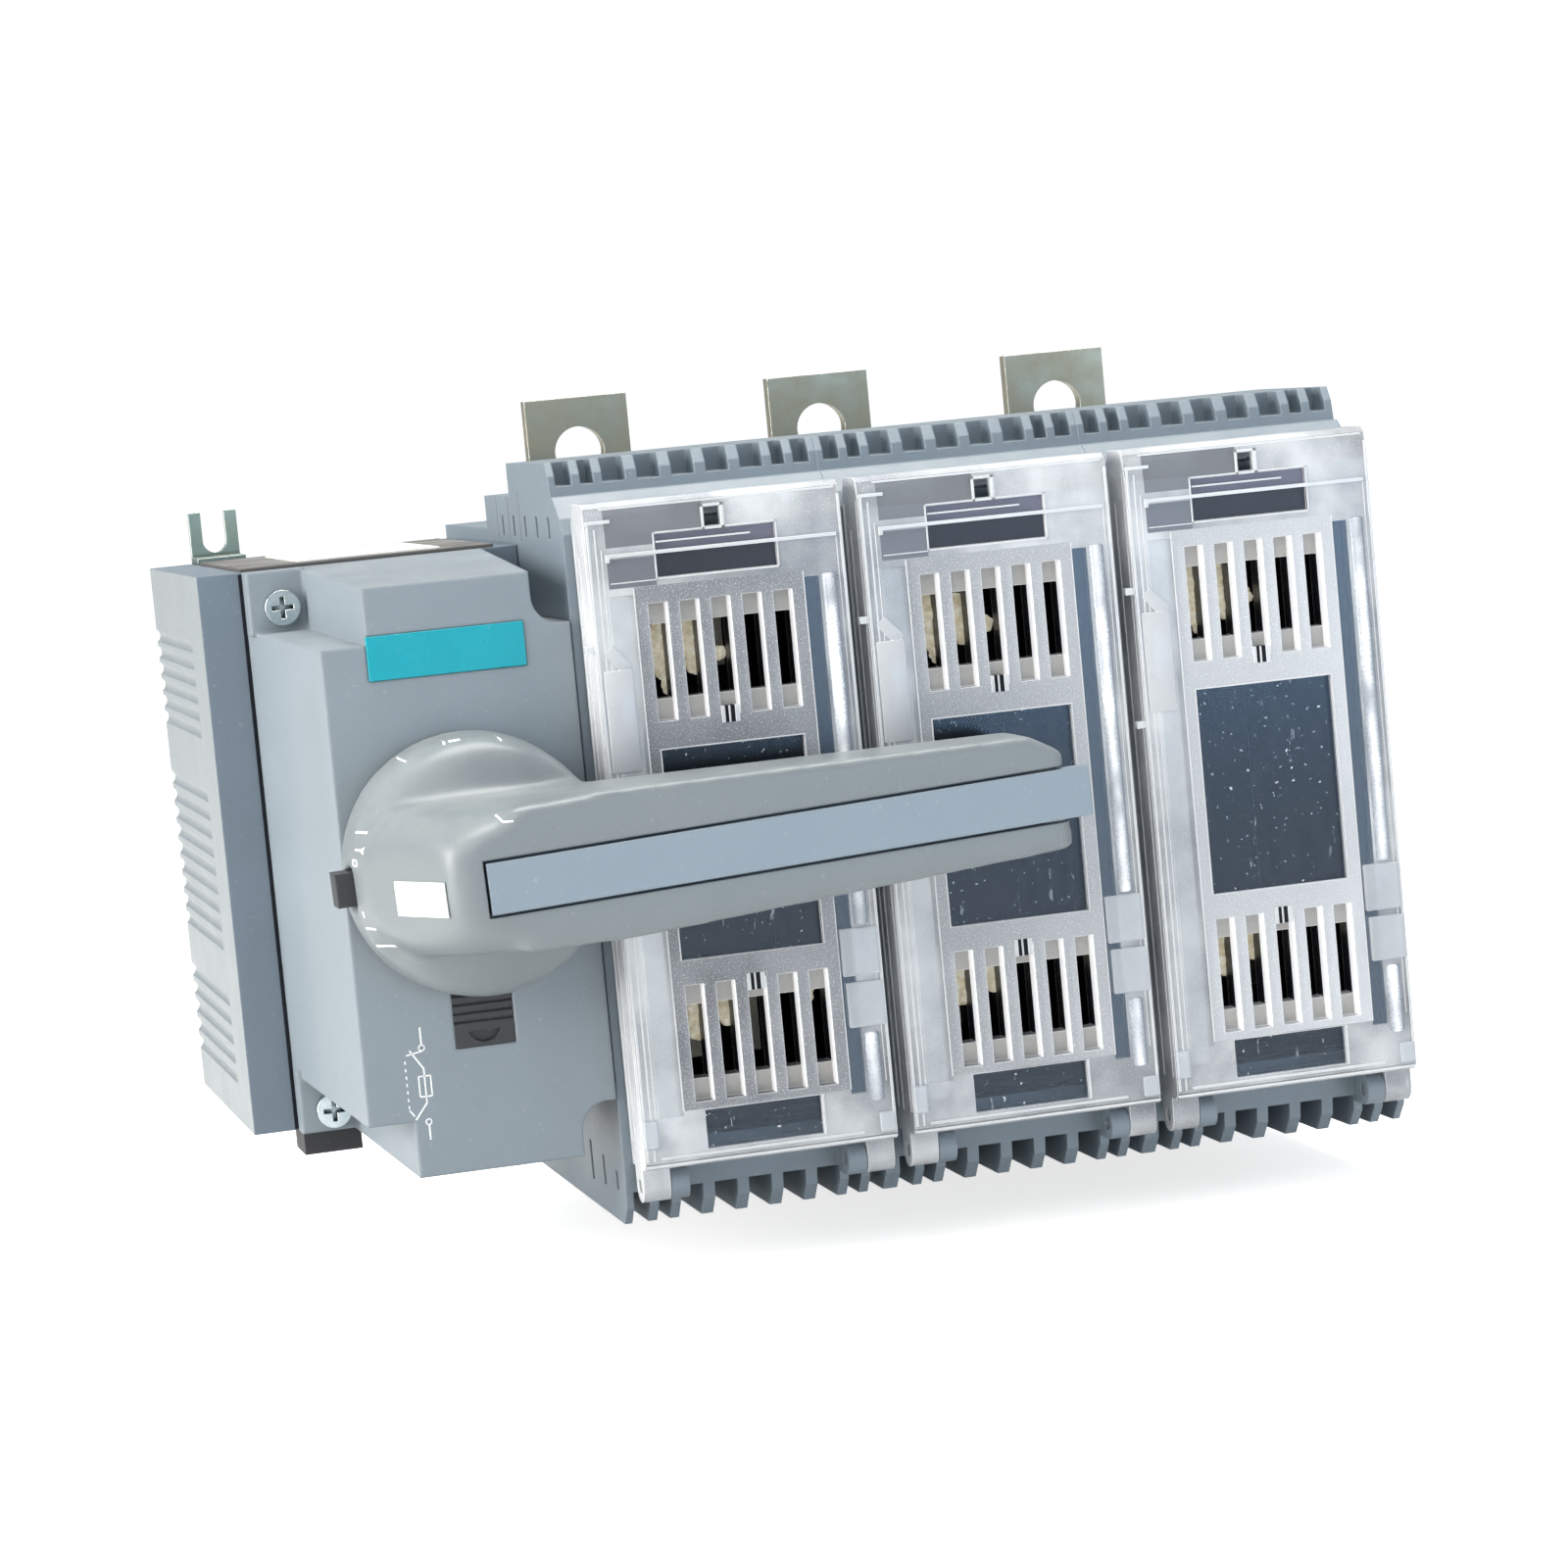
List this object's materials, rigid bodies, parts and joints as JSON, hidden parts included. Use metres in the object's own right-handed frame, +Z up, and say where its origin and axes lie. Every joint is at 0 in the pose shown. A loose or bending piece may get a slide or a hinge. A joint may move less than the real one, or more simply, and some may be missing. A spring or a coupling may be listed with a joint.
{
  "type": "fuse switch disconnector",
  "caption": "Fuse switch disconnector with a side-mounted rotary handle, clear louvred fuse covers and plated terminal tabs.",
  "frame": {"origin": "centre of the back face on the panel, on the middle pole's axis at the middle of the housing height", "axes": "+Z up along the poles, +Y back into the panel, so the covers and handle face -Y, +X to the right across the poles, away from the mechanism"},
  "size_m": [0.257, 0.2001, 0.191],
  "materials": {
    "housing_grey": "satin",
    "side_grey": "satin",
    "cover_grey": "satin",
    "clear_plastic": "glossy",
    "tinned_copper": "mottled",
    "silvered_copper": "satin",
    "shaft_black": "matte",
    "drive_steel": "machined",
    "frame_dark": "matte",
    "pin_steel": "satin",
    "plate_teal": "glossy",
    "screw_zinc": "plated",
    "slide_black": "matte",
    "strip_grey": "matte",
    "card_white": "matte",
    "handle_grey": "satin",
    "bar_grey": "satin",
    "fork_zinc": "plated"
  },
  "bodies": {
    "switch": {"pole_base_1": "housing_grey", "fuse_frame_1": "housing_grey", "upper_terminal_1": "tinned_copper", "upper_fuse_jaw_1": "silvered_copper", "lower_terminal_1": "tinned_copper", "lower_fuse_jaw_1": "silvered_copper", "pole_base_2": "housing_grey", "fuse_frame_2": "housing_grey", "upper_terminal_2": "tinned_copper", "upper_fuse_jaw_2": "silvered_copper", "lower_terminal_2": "tinned_copper", "lower_fuse_jaw_2": "silvered_copper", "pole_base_3": "housing_grey", "fuse_frame_3": "housing_grey", "upper_terminal_3": "tinned_copper", "upper_fuse_jaw_3": "silvered_copper", "lower_terminal_3": "tinned_copper", "lower_fuse_jaw_3": "silvered_copper", "fork_left_top": "fork_zinc", "fork_left_bottom": "fork_zinc", "fork_right_top": "fork_zinc", "fork_right_bottom": "fork_zinc", "cover_hinge_pins": "pin_steel", "mechanism_housing": "side_grey", "mechanism_cover": "cover_grey", "name_plate": "plate_teal", "cover_screws": "screw_zinc", "top_strip": "strip_grey", "top_card": "card_white", "lower_foot": "slide_black", "drive_frame": "frame_dark", "pole_tie_rods": "pin_steel"},
    "turn_handle": {"handle": "handle_grey", "index_card": "card_white", "handle_spindle": "drive_steel", "handle_pinion": "drive_steel"},
    "padlock_slide": {"padlock_bar": "bar_grey"},
    "button": {"release_button": "slide_black"},
    "locking_slide": {"lock_slide": "slide_black"},
    "cover_1": {"fuse_cover_1": "clear_plastic"},
    "cover_2": {"fuse_cover_2": "clear_plastic"},
    "cover_3": {"fuse_cover_3": "clear_plastic"},
    "upper_drive_rack": {"upper_rack": "drive_steel"},
    "upper_switch_shaft": {"upper_cross_shaft": "shaft_black", "upper_shaft_pinion": "drive_steel", "upper_blade_1": "silvered_copper", "upper_blade_2": "silvered_copper", "upper_blade_3": "silvered_copper"},
    "lower_drive_rack": {"lower_rack": "drive_steel"},
    "lower_switch_shaft": {"lower_cross_shaft": "shaft_black", "lower_shaft_pinion": "drive_steel", "lower_blade_1": "silvered_copper", "lower_blade_2": "silvered_copper", "lower_blade_3": "silvered_copper"}
  },
  "joints": [
    {"name": "handle_turn", "type": "hinge", "parent": "switch", "child": "turn_handle", "pos_m": [-0.117, -0.16, -0.0016], "axis": [0, -1, 0], "range_deg": [0, 120]},
    {"name": "padlock_pull", "type": "slide", "parent": "turn_handle", "child": "padlock_slide", "axis": [0.9945, 0.0991, 0.0347], "range_m": [0, 0.014]},
    {"name": "button_press", "type": "slide", "parent": "turn_handle", "child": "button", "axis": [0.9994, 0, 0.0349], "range_m": [0, 0.0024], "stiffness_N_per_m": 200, "springref_m": -0.001},
    {"name": "lock_slide_move", "type": "slide", "parent": "switch", "child": "locking_slide", "axis": [0, 0, 1], "range_m": [0, 0.005]},
    {"name": "upper_rack_move", "type": "slide", "parent": "switch", "child": "upper_drive_rack", "axis": [0, 0, 1], "range_m": [-0.021, 0]},
    {"name": "lower_rack_move", "type": "slide", "parent": "switch", "child": "lower_drive_rack", "axis": [0, 0, 1], "range_m": [0, 0.021]},
    {"name": "upper_shaft_turn", "type": "hinge", "parent": "switch", "child": "upper_switch_shaft", "pos_m": [0, -0.036, 0.0274], "axis": [1, 0, 0], "range_deg": [0, 88]},
    {"name": "lower_shaft_turn", "type": "hinge", "parent": "switch", "child": "lower_switch_shaft", "pos_m": [0, -0.036, -0.0306], "axis": [1, 0, 0], "range_deg": [-88, 0]},
    {"name": "cover_1_hinge", "type": "hinge", "parent": "switch", "child": "cover_1", "pos_m": [-0.06, -0.152, -0.0752], "axis": [1, 0, 0], "range_deg": [0, 5.5]},
    {"name": "cover_2_hinge", "type": "hinge", "parent": "switch", "child": "cover_2", "pos_m": [0, -0.152, -0.0752], "axis": [1, 0, 0], "range_deg": [0, 5.5]},
    {"name": "cover_3_hinge", "type": "hinge", "parent": "switch", "child": "cover_3", "pos_m": [0.06, -0.152, -0.0752], "axis": [1, 0, 0], "range_deg": [0, 95]}
  ],
  "couplings": [
    {"joint": "upper_rack_move", "follows": "handle_turn", "m_per_rad": -0.01},
    {"joint": "lower_rack_move", "follows": "handle_turn", "m_per_rad": 0.01},
    {"joint": "upper_shaft_turn", "follows": "handle_turn", "ratio": 0.72727},
    {"joint": "lower_shaft_turn", "follows": "handle_turn", "ratio": -0.72727}
  ]
}
